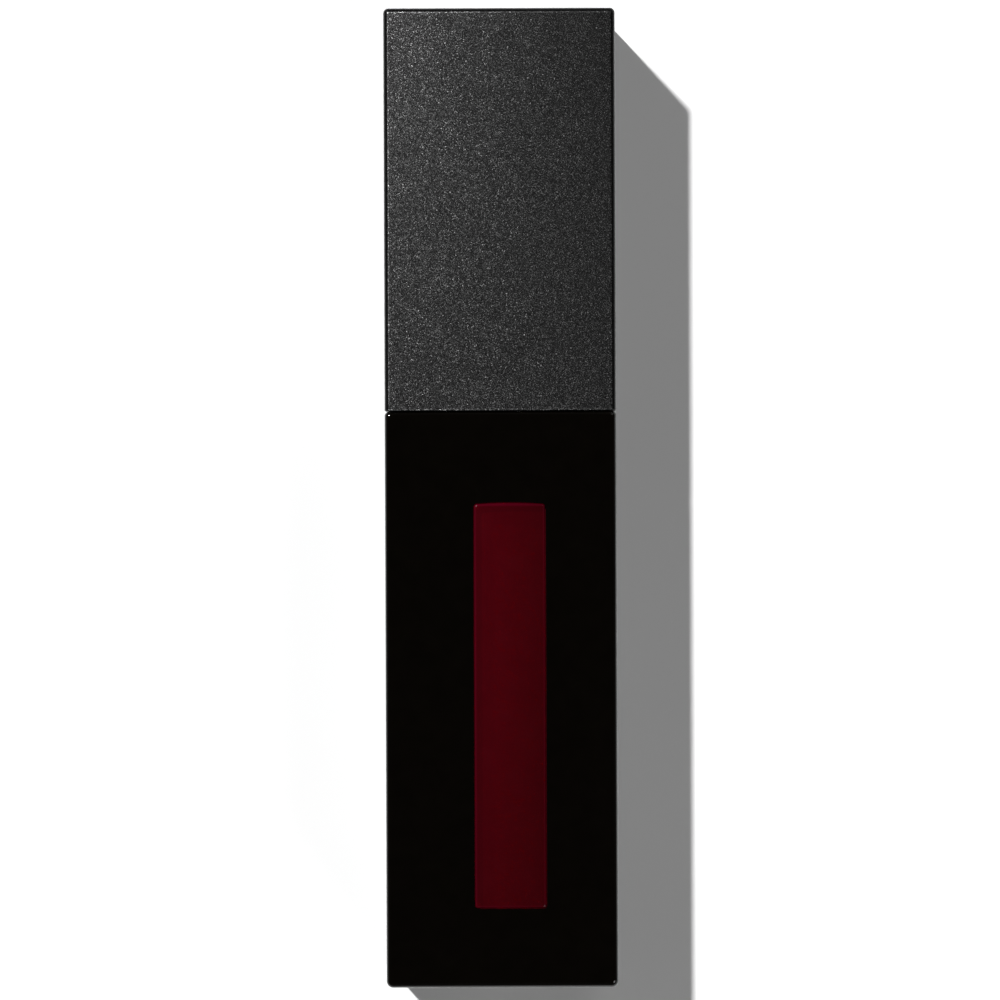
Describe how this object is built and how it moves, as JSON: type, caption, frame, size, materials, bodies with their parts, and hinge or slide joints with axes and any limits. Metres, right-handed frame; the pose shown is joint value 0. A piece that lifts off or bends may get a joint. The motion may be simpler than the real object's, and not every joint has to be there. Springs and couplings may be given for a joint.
{
  "type": "liquid lipstick case",
  "caption": "Square lip colour tube: a gloss sleeve with a long window around a clear threaded vial, and a square screw cap that carries a doe-foot wand.",
  "frame": {"origin": "middle of the tube's footprint on the surface it lies on, back down", "axes": "+Y along the tube from the base to the cap, +X to the right seen from the front, +Z out of the front face with the window"},
  "size_m": [0.019, 0.0804, 0.019],
  "materials": {
    "gloss_shell": "deep gloss black",
    "collar_plastic": "satin black",
    "shade_lens": "polished acrylic, tinted dark red and see-through only faintly",
    "clear_vial": "clear moulded plastic",
    "lip_colour": "dark red liquid",
    "wiper_plastic": "natural soft polyethylene",
    "label_film": "blank satin film",
    "seal_foam": "soft white foam",
    "sparkle_shell": "charcoal lacquer with fine metallic sparkle",
    "liner_plastic": "satin black",
    "stem_plastic": "satin black",
    "soft_core": "soft elastomer",
    "flock": "short nylon flock, stained by the colour"
  },
  "bodies": {
    "bottle": {"outer_sleeve": "gloss_shell", "window_lens": "shade_lens", "inner_vial": "clear_vial", "lip_colour": "lip_colour", "wiper": "wiper_plastic", "shoulder_collar": "collar_plastic", "shade_label": "label_film"},
    "liner": {"seal_washer": "seal_foam"},
    "cap": {"outer_cap": "sparkle_shell", "inner_cap": "liner_plastic", "wand_stem": "stem_plastic", "applicator_core": "soft_core", "flock_coat": "flock"}
  },
  "joints": [
    {"name": "cap_lift", "type": "slide", "parent": "bottle", "child": "liner", "axis": [0, 1, 0], "range_m": [0, 0.056]},
    {"name": "cap_twist", "type": "hinge", "parent": "liner", "child": "cap", "pos_m": [0, 0, 0.0095], "axis": [0, 1, 0], "range_deg": [0, 540]}
  ]
}
